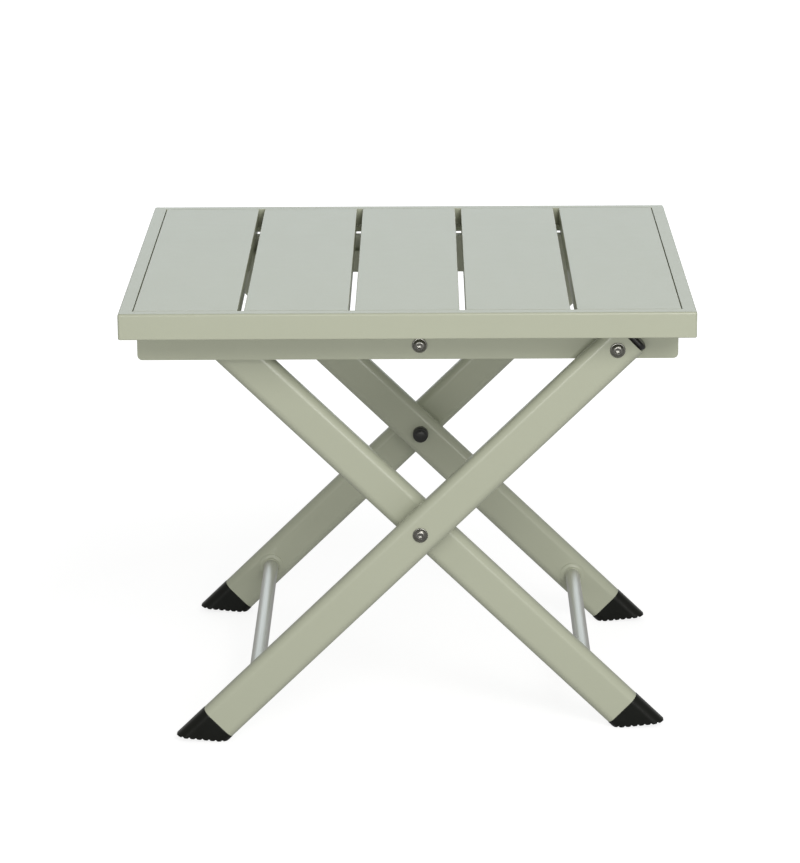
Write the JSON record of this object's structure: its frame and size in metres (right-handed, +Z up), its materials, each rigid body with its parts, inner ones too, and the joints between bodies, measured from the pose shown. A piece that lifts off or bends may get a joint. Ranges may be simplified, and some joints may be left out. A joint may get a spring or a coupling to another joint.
{
  "type": "folding side table",
  "caption": "Low folding side table: slatted aluminium top in a mitred rim on two crossed leg frames that fold flat beside the top.",
  "frame": {"origin": "on the floor, under the middle of the table top", "axes": "+X to the right along the front of the top, +Y from the front to the back, +Z up"},
  "size_m": [0.5, 0.45, 0.404],
  "materials": {
    "painted_frame": "matte sage-green powder coat",
    "bare_aluminium": "satin anodised",
    "stainless_steel": "machined stainless steel",
    "black_nylon": "plain moulded nylon",
    "black_plastic": "satin moulded plastic",
    "foot_rubber": "hard black rubber, slightly glossy"
  },
  "bodies": {
    "top": {"rim_front": "painted_frame", "rim_back": "painted_frame", "rim_left": "painted_frame", "rim_right": "painted_frame", "corner_keys": "bare_aluminium", "slat_1": "painted_frame", "slat_2": "painted_frame", "slat_3": "painted_frame", "slat_4": "painted_frame", "slat_5": "painted_frame", "apron_rivets": "bare_aluminium", "rim_rivets": "bare_aluminium", "apron_front": "painted_frame", "apron_back": "painted_frame", "hinge_bolts": "stainless_steel", "hinge_washers": "black_nylon", "hinge_nuts": "stainless_steel", "link_bolts": "stainless_steel", "link_spacers": "black_nylon", "link_washers": "black_nylon", "link_nuts": "stainless_steel", "link_caps": "black_plastic"},
    "outer_frame": {"outer_leg_front": "painted_frame", "outer_leg_back": "painted_frame", "outer_leg_plugs": "black_plastic", "outer_foot_front": "foot_rubber", "outer_foot_back": "foot_rubber", "outer_leg_bushes": "black_nylon", "outer_crossbar": "bare_aluminium", "outer_collars": "painted_frame", "centre_bolts": "stainless_steel", "centre_spacers": "black_nylon", "centre_washers": "black_nylon", "centre_nuts": "stainless_steel", "centre_caps": "black_plastic"},
    "inner_frame": {"inner_leg_front": "painted_frame", "inner_leg_back": "painted_frame", "inner_leg_plugs": "black_plastic", "inner_foot_front": "foot_rubber", "inner_foot_back": "foot_rubber", "inner_leg_bushes": "black_nylon", "inner_crossbar": "bare_aluminium", "inner_collars": "painted_frame", "top_studs": "stainless_steel", "top_washers": "black_nylon", "top_nuts": "stainless_steel", "top_caps": "black_plastic"},
    "links": {"link_front": "painted_frame", "link_back": "painted_frame", "link_rivets": "bare_aluminium"}
  },
  "joints": [
    {"name": "leg_fold", "type": "hinge", "parent": "top", "child": "outer_frame", "pos_m": [0.1834, 0, 0.3627], "axis": [0, -1, 0], "range_deg": [0, 127.22]},
    {"name": "scissor_fold", "type": "hinge", "parent": "outer_frame", "child": "inner_frame", "pos_m": [0.0105, 0, 0.1946], "axis": [0, 1, 0], "range_deg": [0, 84.5]},
    {"name": "link_fold", "type": "hinge", "parent": "top", "child": "links", "pos_m": [0.0105, 0, 0.3627], "axis": [0, -1, 0], "range_deg": [0, 170.05]}
  ],
  "couplings": [
    {"joint": "scissor_fold", "follows": "leg_fold", "ratio": 0.66377},
    {"joint": "link_fold", "follows": "leg_fold", "ratio": 1.3362}
  ]
}
